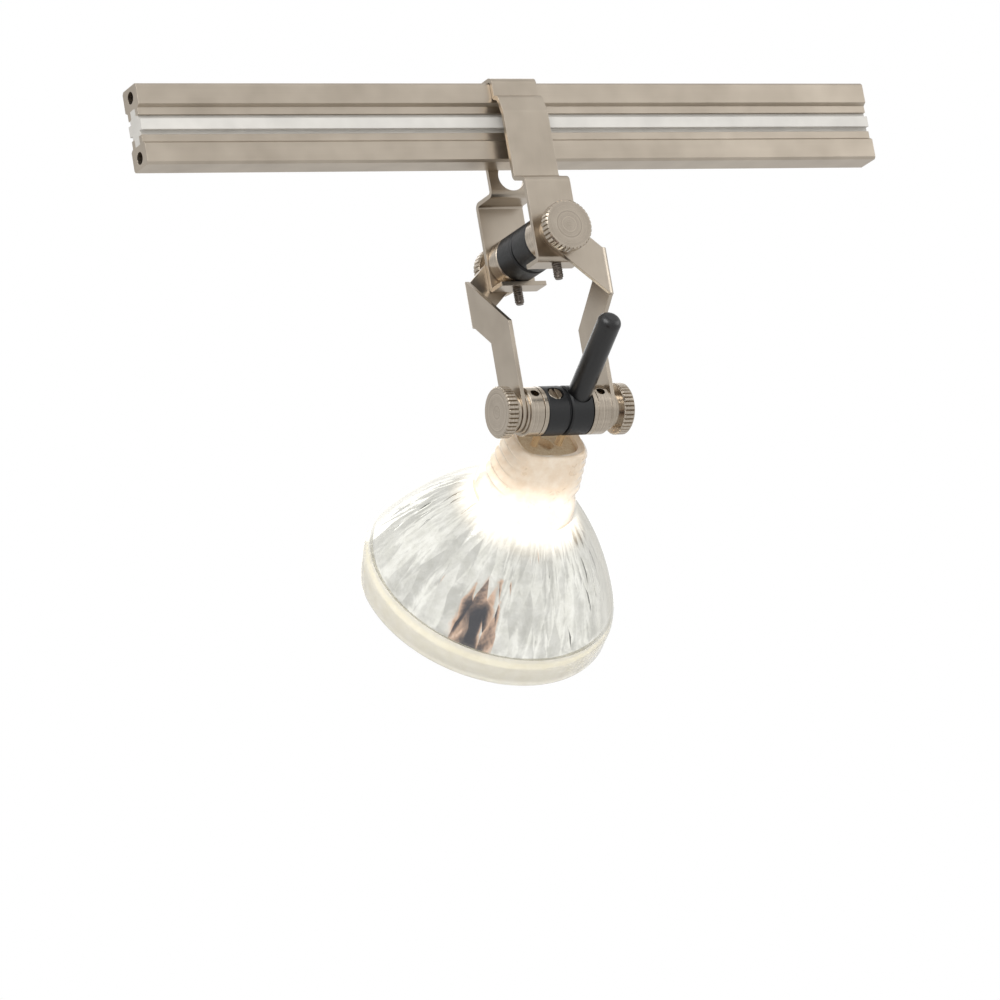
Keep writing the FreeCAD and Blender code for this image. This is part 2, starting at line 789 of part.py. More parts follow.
def thumbscrew(label, turn, height, seat):
    """A knurled knob with a threaded shank, drawn along +X with the knob's inner face at its seat."""
    outline = [
        (f"{seat} - shank_length", "0"),
        (f"{seat} - shank_length", "shank_radius"),
        (seat, "shank_radius"),
        (seat, "knob_radius - knob_edge"),
        (f"{seat} + knob_edge", "knob_radius"),
        (f"{seat} + knob_thickness - knob_edge", "knob_radius"),
        (f"{seat} + knob_thickness", "knob_radius - knob_edge"),
        (f"{seat} + knob_thickness", "0"),
    ]
    body = turned(label, outline)
    groove = new_sketch(body, "YZ_Plane", label + "_knurl", offset=seat)
    draw_lines(
        groove,
        [
            ("0", "knob_radius - knurl_depth"),
            ("knurl_half_width", "knob_radius + knurl_depth"),
            ("-knurl_half_width", "knob_radius + knurl_depth"),
        ],
    )
    cut = cut_away(body, groove, "knob_thickness", reverse=True)
    pattern = body.newObject("PartDesign::PolarPattern", label + "_knurl_pattern")
    pattern.Originals = [cut]
    pattern.Axis = (next(item for item in body.Origin.OriginFeatures if item.Role == "X_Axis"), [""])
    pattern.Angle = 360
    pattern.setExpression("Occurrences", bound("knurl_count"))
    body.Tip = pattern
    doc.recompute()
    place(body, height, turn=turn)


def washer(label, turn, height, start, thickness, radius):
    """A flat washer under a thumbscrew's knob, drawn along +X."""
    body = turned(label, ring_profile(start, f"{start} + {thickness}", "washer_bore_radius", radius))
    place(body, height, turn=turn)


# ---------------------------------------------------------------- lamp


def draw_bowl_half(sketch):
    """Outline of half the glass bowl: a thick shell with a flange that holds the front glass.

    Heights are negative because the lamp points down its own axis.
    """
    corners = [
        ("bowl_eye_radius", "-bowl_back"),
        ("bowl_back_radius", "-bowl_back"),
        ("bowl_front_radius", "-bowl_front"),
        ("rim_radius", "-bowl_front - rim_edge"),
        ("rim_radius", "-rim_front + rim_edge"),
        ("rim_radius - rim_edge", "-rim_front"),
        ("rim_bore_radius", "-rim_front"),
        ("rim_bore_radius", "-rim_ledge"),
        ("inner_front_radius", "-rim_ledge"),
        ("inner_back_radius", "-inner_back"),
        ("bowl_eye_radius", "-inner_back"),
    ]
    outer_wall = 1
    inner_wall = 8
    arcs = {outer_wall: "bowl_arc_radius", inner_wall: "inner_arc_radius"}
    ends = [(START, END)] * len(corners)
    ends[outer_wall] = (END, START)
    spots = [FreeCAD.Vector(value(across), value(up), 0) for across, up in corners]
    for number, spot in enumerate(spots):
        following = spots[(number + 1) % len(spots)]
        if number == outer_wall:
            sketch.addGeometry(arc_between(following, spot, value(arcs[number])))
        elif number == inner_wall:
            sketch.addGeometry(arc_between(spot, following, value(arcs[number])))
        else:
            sketch.addGeometry(Part.LineSegment(spot, following))
    for number, corner in enumerate(corners):
        following = (number + 1) % len(corners)
        sketch.addConstraint(
            Sketcher.Constraint("Coincident", number, ends[number][1], following, ends[following][0])
        )
        pin_point(sketch, number, ends[number][0], corner)
    for number, radius in arcs.items():
        constraint = sketch.addConstraint(Sketcher.Constraint("Radius", number, value(radius)))
        sketch.setExpression(f"Constraints[{constraint}]", bound(radius))


def arc_between(start, end, radius):
    """The short counterclockwise arc of a radius between two points."""
    chord = end - start
    middle = (start + end) / 2
    left = FreeCAD.Vector(-chord.y, chord.x, 0).normalize()
    centre = middle + left * (radius**2 - (chord.Length / 2) ** 2) ** 0.5
    crown = centre - left * radius
    return Part.Arc(start, crown, end)


def lamp_reflector():
    """The pressed glass reflector: a deep bowl on a flattened neck, hollow for the ceramic base."""
    body = new_body("lamp_reflector")
    bowl = new_sketch(body, "XZ_Plane", "bowl_profile")
    draw_bowl_half(bowl)
    revolve(body, bowl, axis="V_Axis")
    sections = []
    for end in ("front", "back"):
        section = new_sketch(body, "XY_Plane", f"neck_{end}_section", offset=f"-neck_{end}")
        width = f"neck_{end}_half_width"
        depth = f"neck_{end}_half_depth"
        first = draw_box(section, f"-{width}", width, f"-{depth}", depth)
        for corner in range(4):
            round_corner(section, first + corner, f"{depth} * neck_corner_share")
        sections.append(section)
    doc.recompute()
    loft = body.newObject("PartDesign::AdditiveLoft", "neck_loft")
    loft.Profile = sections[0]
    loft.Sections = [sections[1]]
    doc.recompute()
    cavity = new_sketch(body, "XY_Plane", "base_cavity", offset="-inner_back - drill_margin")
    draw_base_oval(cavity)
    cut_away(body, cavity, "inner_back", reverse=True)
    tilt_with_lamp(body)


def lamp_front_glass():
    """The flat cover glass in the flange."""
    outline = [
        ("0", "-rim_ledge"),
        ("rim_bore_radius - glass_gap", "-rim_ledge"),
        ("rim_bore_radius - glass_gap", "-rim_ledge - front_glass_thickness"),
        ("0", "-rim_ledge - front_glass_thickness"),
    ]
    body = new_body("lamp_front_glass")
    profile = new_sketch(body, "XZ_Plane", "front_glass_profile")
    draw_lines(profile, outline)
    revolve(body, profile, axis="V_Axis")
    tilt_with_lamp(body)


def draw_base_oval(sketch):
    """Outline of the ceramic base and of the cavity that holds it: a box with well rounded corners."""
    first = draw_box(sketch, "-base_half_width", "base_half_width", "-base_half_depth", "base_half_depth")
    for corner in range(4):
        round_corner(sketch, first + corner, "base_half_depth * base_corner_share")


def lamp_base():
    """The ceramic block cemented in the neck, which holds the contact pins and the capsule."""
    body = new_body("lamp_base")
    block = new_sketch(body, "XY_Plane", "base_block", offset="-inner_back")
    draw_base_oval(block)
    pad(body, block, "inner_back - base_back")
    for name, side in (("left", "-1"), ("right", "1")):
        socket = new_sketch(body, "XY_Plane", f"base_{name}_pin_hole", offset="-base_back")
        draw_circle(socket, f"{side} * pin_spacing / 2", "0", "pin_radius")
        cut_away(body, socket, "pin_root - base_back")
    dimple = new_sketch(body, "XY_Plane", "base_dimple", offset="-base_back")
    draw_circle(dimple, "0", "0", "base_dimple_radius")
    cut_away(body, dimple, "base_dimple_depth")
    slot = new_sketch(body, "XY_Plane", "seal_slot", offset="-inner_back")
    draw_box(slot, "-seal_half_width", "seal_half_width", "-seal_half_depth", "seal_half_depth")
    cut_away(body, slot, "inner_back - seal_root", reverse=True)
    tilt_with_lamp(body)


def cylinder(name, radius, tip, root, across="0"):
    """An upright cylinder on the lamp's own axis or beside it, from its tip down to its root."""
    piece = doc.addObject("Part::Cylinder", name)
    piece.setExpression("Radius", bound(radius))
    piece.setExpression("Height", bound(f"{root} - {tip}"))
    piece.setExpression("Placement.Base.x", with_unit(across))
    piece.setExpression("Placement.Base.z", with_unit(f"-({root})"))
    return piece


def lamp_contact_pins():
    """The two contact pins, 5.33 mm apart, as one group of separate solids."""
    pins = [
        cylinder(f"{name}_contact_pin", "pin_radius", "pin_tip", "pin_root", f"{side} * pin_spacing / 2")
        for name, side in (("left", "-1"), ("right", "1"))
    ]
    group = doc.addObject("Part::Compound", "lamp_contact_pins")
    group.Label = "lamp_contact_pins"
    group.Links = pins
    sub_parts.append(group)
    tilt_with_lamp(group)


def lamp_capsule():
    """The quartz capsule: a domed bulb with a hollow for the filament, on a flat pinched seal."""
    body = new_body("lamp_capsule")
    bulb = new_sketch(body, "XZ_Plane", "bulb_profile")
    draw_box(bulb, "0", "capsule_radius", "-capsule_dome", "-inner_back - capsule_lift")
    revolve(body, bulb, axis="V_Axis")
    rounding = "capsule_radius * capsule_round_share"
    break_edges(body, "Fillet", rounding, lambda edge: is_circle(edge, "capsule_radius"))
    seal = new_sketch(body, "XY_Plane", "seal_block", offset="-seal_root")
    draw_box(seal, "-seal_half_width", "seal_half_width", "-seal_half_depth", "seal_half_depth")
    pad(body, seal, "filament_root - seal_root - seal_tip_gap", reverse=True)
    hollow = new_sketch(body, "XZ_Plane", "bulb_hollow")
    draw_box(hollow, "0", "hollow_radius", "-hollow_front", "-filament_root")
    revolve(body, hollow, kind="PartDesign::Groove", axis="V_Axis")
    tilt_with_lamp(body)


def lamp_filament():
    """The tungsten coil's envelope, standing on its two leads inside the capsule."""
    coil = cylinder("filament_coil", "filament_radius", "filament_back", "filament_front")
    leads = [
        cylinder(
            f"{name}_filament_lead",
            "filament_lead_radius",
            "filament_root",
            "filament_back + filament_radius",
            f"{side} * filament_radius * filament_lead_share",
        )
        for name, side in (("left", "-1"), ("right", "1"))
    ]
    whole = doc.addObject("Part::MultiFuse", "lamp_filament")
    whole.Label = "lamp_filament"
    whole.Shapes = [coil] + leads
    sub_parts.append(whole)
    tilt_with_lamp(whole)


# ---------------------------------------------------------------- the whole spotlight


def build_rail():
    conductor("upper_conductor", "0")
    conductor("lower_conductor", "180")
    rail_insulator()


def build_clip():
    front_clip_leaf()
    rear_clip_leaf()
    for name, side, turn in (("front", "-1", "180"), ("rear", "1", "0")):
        tab_screw(f"{name}_tab_screw", side)
        upper_terminal(f"upper_{name}_terminal", turn)
        sleeve = turned(f"upper_{name}_sleeve", sleeve_profile("upper_sleeve_end"), role="YZ_Plane")
        place(sleeve, "upper_rod_height", turn=turn)
    place(spacer("upper_spacer", "YZ_Plane"), "upper_rod_height")


def build_lamp_holder():
    lower_terminal("lower_left_terminal", "-1")
    lower_terminal("lower_right_terminal", "1")
    lower_sleeve("lower_left_sleeve", "-1", "clamp_head_radius + head_clearance", "clamp_head_seat")
    lower_sleeve("lower_right_sleeve", "1", "lever_radius + head_clearance", "lever_foot")
    tilt_with_lamp(spacer("lower_spacer", "XZ_Plane"))
    for name, side in (("left", "-1"), ("right", "1")):
        washer_end = "fork_inner_face - running_gap"
        pieces = {
            "ring": ("lower_sleeve_end", "lower_ring_end", "stack_radius"),
            "shoulder_washer": ("lower_collar_end", washer_end, "shoulder_washer_radius"),
        }
        for piece, (start, end, radius) in pieces.items():
            outline = ring_profile(f"{side} * ({start})", f"{side} * ({end})", "boss_radius", radius)
            tilt_with_lamp(turned(f"lower_{name}_{piece}", outline))
    pin_clamp_screw()
    lever_stud()
    aiming_lever()


def build_thumbscrews():
    strip = "upper_collar_end + leaf_thickness + running_gap + fork_thickness"
    upper_start = f"({strip} + running_gap)"
    lower_start = "(fork_inner_face + fork_thickness + running_gap)"
    upper_seat = f"({upper_start} + upper_washer_thickness)"
    lower_seat = f"({lower_start} + lower_washer_thickness)"
    rods = {
        "upper": (upper_start, upper_seat, {"front": "-90", "rear": "90"}),
        "lower": (lower_start, lower_seat, {"left": "180", "right": "0"}),
    }
    for rod, (start, seat, ends) in rods.items():
        height = f"{rod}_rod_height"
        for name, turn in ends.items():
            washer(f"{name}_washer", turn, height, start, f"{rod}_washer_thickness", f"{rod}_washer_radius")
            thumbscrew(f"{name}_thumbscrew", turn, height, seat)


def build_lamp():
    lamp_reflector()
    lamp_front_glass()
    lamp_base()
    lamp_contact_pins()
    lamp_capsule()
    lamp_filament()


def check_document():
    """Stop if any object failed, or any sub-part has no valid solid."""
    doc.recompute()
    failed = [item.Name for item in doc.Objects if {"Invalid", "Error"} & set(item.State)]
    if failed:
        raise RuntimeError(f"failed objects: {failed}")
    for piece in sub_parts:
        if piece.Shape.isNull() or not piece.Shape.isValid() or not piece.Shape.Solids:
            raise RuntimeError(f"{piece.Label} has no valid solid")


def export_sub_parts():
    os.makedirs("parts", exist_ok=True)
    for piece in sub_parts:
        piece.Shape.exportStep(f"parts/{piece.Label}.step")


fill_sheet()
build_rail()
build_clip()
fork_strip("right_fork_strip", "0")
fork_strip("left_fork_strip", "180")
build_lamp_holder()
build_thumbscrews()
build_lamp()
check_document()
export_sub_parts()
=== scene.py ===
"""Track spotlight: the looks of a bare reflector lamp on a yoke that slides along a two-conductor rail.

The CAD nodes keep their shapes and get procedural materials. The glass reflector, the filament and the small
set screws are built here in mesh code. Sizes are in millimetres and turn into metres where a mesh is made.
"""

import json
import math
import random

import bmesh
import bpy
from mathutils import Matrix, Vector


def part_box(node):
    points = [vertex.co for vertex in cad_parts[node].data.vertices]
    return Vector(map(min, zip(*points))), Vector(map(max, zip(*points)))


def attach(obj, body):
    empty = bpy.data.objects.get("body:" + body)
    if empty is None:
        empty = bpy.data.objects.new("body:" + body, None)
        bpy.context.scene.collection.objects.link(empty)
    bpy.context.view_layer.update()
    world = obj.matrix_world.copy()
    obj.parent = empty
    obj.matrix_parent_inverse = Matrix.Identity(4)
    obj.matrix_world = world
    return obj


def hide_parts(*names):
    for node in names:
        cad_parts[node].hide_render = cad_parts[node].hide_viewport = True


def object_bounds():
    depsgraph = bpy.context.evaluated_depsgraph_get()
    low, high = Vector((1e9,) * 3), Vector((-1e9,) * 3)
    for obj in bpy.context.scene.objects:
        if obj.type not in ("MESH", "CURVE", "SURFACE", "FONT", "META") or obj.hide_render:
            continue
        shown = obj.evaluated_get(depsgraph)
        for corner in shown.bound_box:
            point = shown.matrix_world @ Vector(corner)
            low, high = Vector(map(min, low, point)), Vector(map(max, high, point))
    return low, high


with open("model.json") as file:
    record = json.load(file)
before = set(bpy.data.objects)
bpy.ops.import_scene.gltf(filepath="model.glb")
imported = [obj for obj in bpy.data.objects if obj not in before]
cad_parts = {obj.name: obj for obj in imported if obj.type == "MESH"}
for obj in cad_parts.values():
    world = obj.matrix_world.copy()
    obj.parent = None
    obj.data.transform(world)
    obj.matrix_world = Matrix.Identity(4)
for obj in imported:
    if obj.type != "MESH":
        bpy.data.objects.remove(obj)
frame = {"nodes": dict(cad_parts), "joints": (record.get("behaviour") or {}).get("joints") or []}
cad_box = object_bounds()

MM = 0.001
JOINTS = {joint["name"]: joint for joint in frame["joints"]}
UPPER_ROD = Vector(JOINTS["fork_swivel"]["pos_m"])
LOWER_ROD = Vector(JOINTS["lamp_tilt"]["pos_m"])
LAMP_AXIS = Vector(JOINTS["lamp_pull_out"]["axis"])
LAMP_TILT = math.atan2(LAMP_AXIS.y, -LAMP_AXIS.z)

# The lamp's own space: the origin is on the lower rod and the lamp points down -Z.
LAMP_PLACE = Matrix.Translation(LOWER_ROD) @ Matrix.Rotation(LAMP_TILT, 4, "X")


def mixed(first, second, share):
    """Numbers part of the way from the first set to the second."""
    return tuple(a + (b - a) * share for a, b in zip(first, second))


# ---------------------------------------------------------------- material building blocks

BEVEL_SAMPLES = 6
NOISE_ROUGHNESS = 0.6
SCREEN_GAMMA = 2.2


def linear(red, green, blue):
    """A colour in linear light from the 0 to 255 values a screen shows."""
    return tuple((channel / 255) ** SCREEN_GAMMA for channel in (red, green, blue))


class Nodes:
    """A node tree with short ways to add and join nodes."""

    def __init__(self, tree):
        """Work on a material's or a world's tree."""
        self.tree = tree

    def node(self, kind, sockets=None, **settings):
        """Add a node, give it settings, and fill or link its input sockets."""
        made = self.tree.nodes.new("ShaderNode" + kind)
        for setting, choice in settings.items():
            setattr(made, setting, choice)
        for socket, source in (sockets or {}).items():
            self.feed(made.inputs[socket], source)
        return made

    def feed(self, socket, source):
        """Link a node's first output, or an output socket, to an input, or set a plain value."""
        if isinstance(source, bpy.types.Node):
            source = source.outputs[0]
        if isinstance(source, bpy.types.NodeSocket):
            self.tree.links.new(source, socket)
        else:
            socket.default_value = source

    def math(self, operation, first, second):
        """A sum, product or comparison of two values."""
        return self.node("Math", {0: first, 1: second}, operation=operation).outputs["Value"]

    def vector(self, operation, first, second, output="Vector"):
        """A vector sum, product or dot product."""
        return self.node("VectorMath", {0: first, 1: second}, operation=operation).outputs[output]

    def weigh(self, first, second, share):
        """Two values added, the first by its share and the second by the rest."""
        parts = self.math("MULTIPLY", first, share), self.math("MULTIPLY", second, 1 - share)
        return self.math("ADD", *parts)

    def noise(self, where, scale=1.0, detail=3.0):
        """Smooth noise from 0 to 1."""
        sockets = {"Vector": where, "Scale": scale, "Detail": detail, "Roughness": NOISE_ROUGHNESS}
        return self.node("TexNoise", sockets).outputs["Fac"]

    def spread(self, source, low, high, start=0.0, end=1.0, smooth=False):
        """Carry a value from start..end to low..high, held at both ends."""
        sockets = {"Value": source, "From Min": start, "From Max": end, "To Min": low, "To Max": high}
        style = "SMOOTHSTEP" if smooth else "LINEAR"
        return self.node("MapRange", sockets, interpolation_type=style).outputs["Result"]

    def ramp(self, source, *stops):
        """Turn a value into a colour through (position, colour) stops."""
        made = self.node("ValToRGB", {"Fac": source})
        elements = made.color_ramp.elements
        while len(elements) < len(stops):
            elements.new(0.5)
        for element, (position, colour) in zip(elements, stops):
            element.position = position
            element.color = (*colour, 1.0)
        return made.outputs["Color"]

    def blend(self, share, first, second):
        """A colour between two colours."""
        made = self.node("Mix", data_type="RGBA")
        self.feed(made.inputs[0], share)
        self.feed(made.inputs["A"], first)
        self.feed(made.inputs["B"], second)
        return made.outputs["Result"]


class Look(Nodes):
    """A procedural material under construction, on one main surface shader."""

    def __init__(self, name, **surface):
        """Start a material, with the inputs of its surface that stay plain values."""
        self.material = bpy.data.materials.new(name)
        self.material.use_nodes = True
        super().__init__(self.material.node_tree)
        self.surface = self.tree.nodes["Principled BSDF"]
        for socket, setting in surface.items():
            self.set(socket.replace("_", " "), setting)

    def set(self, name, source):
        """Feed one input of the main surface shader."""
        self.feed(self.surface.inputs[name], source)

    def tint(self, source, dark, light, start=0.3, end=0.7):
        """Colour the surface from a dark to a light screen colour as a value rises."""
        self.set("Base Color", self.ramp(source, (start, linear(*dark)), (end, linear(*light))))

    def roughen(self, source, low, high, start=0.0, end=1.0):
        """Make the surface rougher as a value rises."""
        self.set("Roughness", self.spread(source, low, high, start, end))

    def glow(self, colour, strength):
        """Give off light of a plain colour, or of a colour from another node."""
        plain = isinstance(colour, tuple)
        self.set("Emission Color", (*colour, 1.0) if plain else colour)
        self.set("Emission Strength", strength)

    def facing(self):
        """0 where the surface faces the viewer, 1 at its outline."""
        return self.node("LayerWeight", {"Blend": 0.5}).outputs["Facing"]

    def place(self):
        """The point on the piece at rest, in metres: it stays with the piece when its body moves."""
        return self.node("TexCoord").outputs["Object"]

    def stretched(self, grain):
        """The point, scaled along each axis to so many cells per metre."""
        return self.vector("MULTIPLY", self.place(), grain)

    def bump(self, height, depth_mm, edge_mm=0.0):
        """Fine relief of a depth in millimetres, on edges broken to a small radius."""
        sockets = {"Height": height, "Distance": depth_mm * MM}
        if edge_mm:
            edge = self.node("Bevel", {"Radius": edge_mm * MM}, samples=BEVEL_SAMPLES)
            sockets["Normal"] = edge.outputs["Normal"]
        self.set("Normal", self.node("Bump", sockets).outputs["Normal"])


# ---------------------------------------------------------------- materials

NICKEL = (198, 187, 172)
NICKEL_SHADE = (172, 161, 147)
EDGE_BREAK = 0.1
LINE_SHARE = 0.15
RING_SHARE = 0.7
RINGS_PER_METRE = 3600.0
TURNED_ROUGHNESS = 0.2


def brushed_nickel(name, grain, roughness=0.3):
    """Satin nickel plate with fine drawn lines. The grain gives cells per metre along each axis."""
    look = Look(name, Metallic=1.0)
    lines = look.noise(look.stretched(grain), detail=2.0)
    cloud = look.noise(look.place(), scale=120.0, detail=2.0)
    look.tint(look.weigh(lines, cloud, LINE_SHARE), NICKEL_SHADE, NICKEL, start=0.2, end=0.8)
    look.roughen(lines, roughness * 0.95, roughness * 1.1, start=0.3, end=0.7)
    skin = look.noise(look.place(), scale=1500.0, detail=2.0)
    look.bump(skin, depth_mm=0.0012, edge_mm=EDGE_BREAK)
    return look.material


def turned_nickel(name, centre, along):
    """Lathe-turned nickel: fine rings about an axis through a point, on faces and round the sides."""
    look = Look(name, Metallic=1.0)
    across = Vector((1, 1, 1)) - Vector(along)
    offset = look.vector("SUBTRACT", look.place(), centre)
    flat = look.vector("MULTIPLY", offset, across)
    radius = look.node("VectorMath", {0: flat}, operation="LENGTH").outputs["Value"]
    depth = look.vector("DOT_PRODUCT", offset, along, output="Value")
    sockets = {"W": look.math("ADD", radius, depth), "Scale": RINGS_PER_METRE, "Detail": 3.0}
    rings = look.node("TexNoise", sockets, noise_dimensions="1D").outputs["Fac"]
    cloud = look.noise(look.place(), scale=260.0, detail=2.0)
    look.tint(look.weigh(rings, cloud, RING_SHARE), NICKEL_SHADE, NICKEL, start=0.32, end=0.66)
    look.roughen(rings, TURNED_ROUGHNESS * 0.85, TURNED_ROUGHNESS * 1.3, start=0.3, end=0.7)
    look.bump(rings, depth_mm=0.004, edge_mm=EDGE_BREAK)
    return look.material


def dark_steel():
    """Plain steel of the little set screws, darker and lighter in small random spots."""
    look = Look("dark_steel", Metallic=1.0)
    spots = look.noise(look.place(), scale=2200.0, detail=4.0)
    look.tint(spots, (88, 82, 78), (142, 134, 126), start=0.35)
    look.roughen(spots, 0.3, 0.5)
    look.bump(spots, depth_mm=0.004)
    return look.material


CLOUD_DARKENING = 0.12
SKIN_RELIEF = 0.006


def moulded(name, colour, roughness, grain_scale=1800.0, coat=0.0):
    """Moulded or turned plastic with a fine skin and slight clouding."""
    look = Look(name, Coat_Weight=coat, Coat_Roughness=0.25)
    skin = look.noise(look.place(), scale=grain_scale, detail=4.0)
    cloud = look.noise(look.place(), scale=160.0, detail=2.0)
    clouded = mixed(colour, (0, 0, 0), CLOUD_DARKENING)
    look.set("Base Color", look.ramp(cloud, (0.3, clouded), (0.7, colour)))
    look.roughen(skin, roughness * 0.85, roughness * 1.2, start=0.3, end=0.7)
    look.bump(skin, SKIN_RELIEF, edge_mm=EDGE_BREAK)
    return look.material


def lamp_depth(look):
    """How far a point lies along the lamp's own axis from the lower rod, in millimetres."""
    offset = look.vector("SUBTRACT", look.place(), LOWER_ROD)
    return look.math("MULTIPLY", look.vector("DOT_PRODUCT", offset, LAMP_AXIS, output="Value"), 1 / MM)


WARM_LIGHT = (1.0, 0.80, 0.58)
HOT_LIGHT = (1.0, 0.95, 0.86)
COAT_LIGHT = (1.0, 1.0, 0.97)
EDGE_LIGHT = (1.0, 0.94, 0.72)
GLASS_TINT = (0.98, 0.985, 0.965)
GLASS_OUTLINE = (198, 195, 182)
GLASS_BEND = 1.47
QUARTZ_BEND = 1.46
GLOW_AT_EDGE = 0.15
# The faint painted glow left on the whole mirror coat, away from the neck.
COAT_PAINTED_GLOW = 0.07

# Depths along the lamp between which the painted glow of the capsule's light rises (neck, ceramic) or falls
# (bowl, coat).
NECK_GLOW_DEPTHS = (12.5, 19.0)
CERAMIC_GLOW_DEPTHS = (10.0, 19.0)
BOWL_GLOW_DEPTHS = (21.0, 26.0)
COAT_GLOW_DEPTHS = (21.0, 28.0)


def glow_through(look, strength):
    """A painted glow that stands for light from inside, strong where the surface faces the viewer and weak
    at its outline.
    """
    fade = look.spread(look.facing(), 1.0, GLOW_AT_EDGE, start=0.25, end=0.85, smooth=True)
    return look.math("MULTIPLY", strength, fade)


def neck_glass():
    """The pressed neck, milky with cement: cream at the back, with a painted white glow beside the capsule.
    """
    look = Look("neck_glass", IOR=GLASS_BEND, Transmission_Weight=0.15, Coat_Weight=1.0, Coat_Roughness=0.08)
    waves = look.noise(look.place(), scale=380.0)
    look.tint(waves, (222, 200, 172), (242, 230, 212))
    look.roughen(waves, 0.2, 0.4)
    look.bump(waves, depth_mm=0.05)
    # Painted glow: the capsule's light through the milky neck, rising towards the capsule and fading at the
    # outline.
    painted_glow = look.spread(lamp_depth(look), 0.0, 1.0, *NECK_GLOW_DEPTHS, smooth=True)
    colour = look.ramp(painted_glow, (0.1, WARM_LIGHT), (0.8, HOT_LIGHT))
    look.glow(colour, glow_through(look, look.spread(painted_glow, 0.08, 0.62)))
    return look.material


def bowl_glass():
    """The pressed glass over the mirror coat: clear where it faces the viewer, pale at its outline."""
    look = Look("bowl_glass", IOR=GLASS_BEND)
    grazing = look.facing()
    look.set("Base Color", look.ramp(grazing, (0.45, GLASS_TINT), (0.8, linear(*GLASS_OUTLINE))))
    look.set("Transmission Weight", look.spread(grazing, 1.0, 0.05, start=0.45, end=0.8, smooth=True))
    waves = look.noise(look.place(), scale=260.0, detail=2.0)
    look.roughen(waves, 0.02, 0.07)
    look.bump(waves, depth_mm=0.02)
    # Painted glow: the capsule's light shining through the glass near the neck, fading towards the rim.
    near = look.spread(lamp_depth(look), 1.0, 0.0, *BOWL_GLOW_DEPTHS, smooth=True)
    look.glow(HOT_LIGHT, glow_through(look, look.spread(near, 0.0, 0.4)))
    return look.material


def rim_glass():
    """The thick pressed rim, slightly milky, with faint flow lines round it."""
    look = Look("rim_glass", IOR=GLASS_BEND, Transmission_Weight=0.35, Coat_Weight=0.8, Coat_Roughness=0.05)
    flow = look.noise(look.place(), scale=500.0, detail=2.0)
    look.tint(flow, (247, 242, 226), (254, 250, 238))
    look.roughen(flow, 0.12, 0.28)
    look.bump(flow, depth_mm=0.02)
    return look.material


def coating_edge():
    """The pale yellow line where the mirror coat ends under the rim, brightened by a painted glow."""
    look = Look("coating_edge", Roughness=0.4)
    flow = look.noise(look.place(), scale=300.0)
    look.tint(flow, (232, 218, 160), (246, 240, 200))
    # Painted glow: the light the line would get through the glass, given as emission.
    look.glow(EDGE_LIGHT, look.spread(flow, 0.4, 0.6))
    return look.material


def dichroic_coating():
    """The mirror coat on the facets: silver with the faintest cloud, and a painted glow: faint all over,
    stronger near the neck.
    """
    look = Look("dichroic_coating", Metallic=1.0)
    cloud = look.noise(look.place(), scale=420.0, detail=2.0)
    look.tint(cloud, (236, 235, 228), (250, 249, 244), start=0.35, end=0.65)
    look.roughen(cloud, 0.02, 0.07)
    look.bump(cloud, depth_mm=0.02)
    # Painted glow standing for the capsule's light through the coat: faint everywhere, strongest near the
    # neck.
    near = look.spread(lamp_depth(look), 1.0, 0.0, *COAT_GLOW_DEPTHS, smooth=True)
    colour = look.ramp(near, (0.0, COAT_LIGHT), (0.3, WARM_LIGHT), (0.9, HOT_LIGHT))
    look.glow(colour, look.spread(near, COAT_PAINTED_GLOW, 0.3))
    return look.material


def clear_glass(name, glow=0.0):
    """Clear polished glass with faint draw lines."""
    look = Look(name, Transmission_Weight=1.0, IOR=QUARTZ_BEND, Roughness=0.01)
    look.bump(look.noise(look.place(), scale=300.0), depth_mm=0.01)
    look.glow(HOT_LIGHT, glow)
    return look.material


def ceramic():
    """Unglazed ceramic cement, warm from the light that comes through it."""
    look = Look("ceramic")
    grit = look.noise(look.place(), scale=2400.0, detail=5.0)
    look.tint(grit, (214, 186, 146), (238, 220, 190))
    look.roughen(grit, 0.55, 0.8)
    look.bump(grit, depth_mm=0.02, edge_mm=EDGE_BREAK)
    look.glow(WARM_LIGHT, look.spread(lamp_depth(look), 0.02, 0.8, *CERAMIC_GLOW_DEPTHS))
    return look.material


def hot_tungsten():
    """The lit coil: white-hot, a little brighter in patches."""
    look = Look("hot_tungsten", Metallic=1.0, Roughness=0.4)
    patches = look.noise(look.place(), scale=900.0)
    look.tint(patches, (150, 140, 130), (190, 180, 170))
    look.glow(HOT_LIGHT, look.spread(patches, 18.0, 30.0))
    return look.material


PIN_GRAIN = (3000.0, 300.0, 300.0)
PIN_GLOW = 0.12


def warm_pin_metal():
    """The contact pins, nickel that looks golden in the lamp's own light."""
    look = Look("pin_metal", Metallic=1.0)
    lines = look.noise(look.stretched(PIN_GRAIN))
    look.tint(lines, (190, 160, 110), (236, 214, 170))
    look.roughen(lines, 0.2, 0.38)
    look.bump(lines, depth_mm=0.004)
    look.glow(WARM_LIGHT, PIN_GLOW)
    return look.material


# ---------------------------------------------------------------- mesh building blocks


def mesh_piece(name, build, materials, place=None):
    """Make an object from a function that fills a bmesh in millimetres."""
    shape = bmesh.new()
    build(shape)
    bmesh.ops.recalc_face_normals(shape, faces=shape.faces)
    bmesh.ops.scale(shape, vec=Vector((MM, MM, MM)), verts=shape.verts)
    if place is not None:
        bmesh.ops.transform(shape, matrix=place, verts=shape.verts)
    data = bpy.data.meshes.new(name)
    shape.to_mesh(data)
    shape.free()
    for material in materials:
        data.materials.append(material)
    piece = bpy.data.objects.new(name, data)
    bpy.context.scene.collection.objects.link(piece)
    return piece


def take_over(piece, body, node):
    """Show a piece on a body in place of a CAD node."""
    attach(piece, body)
    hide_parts(node)


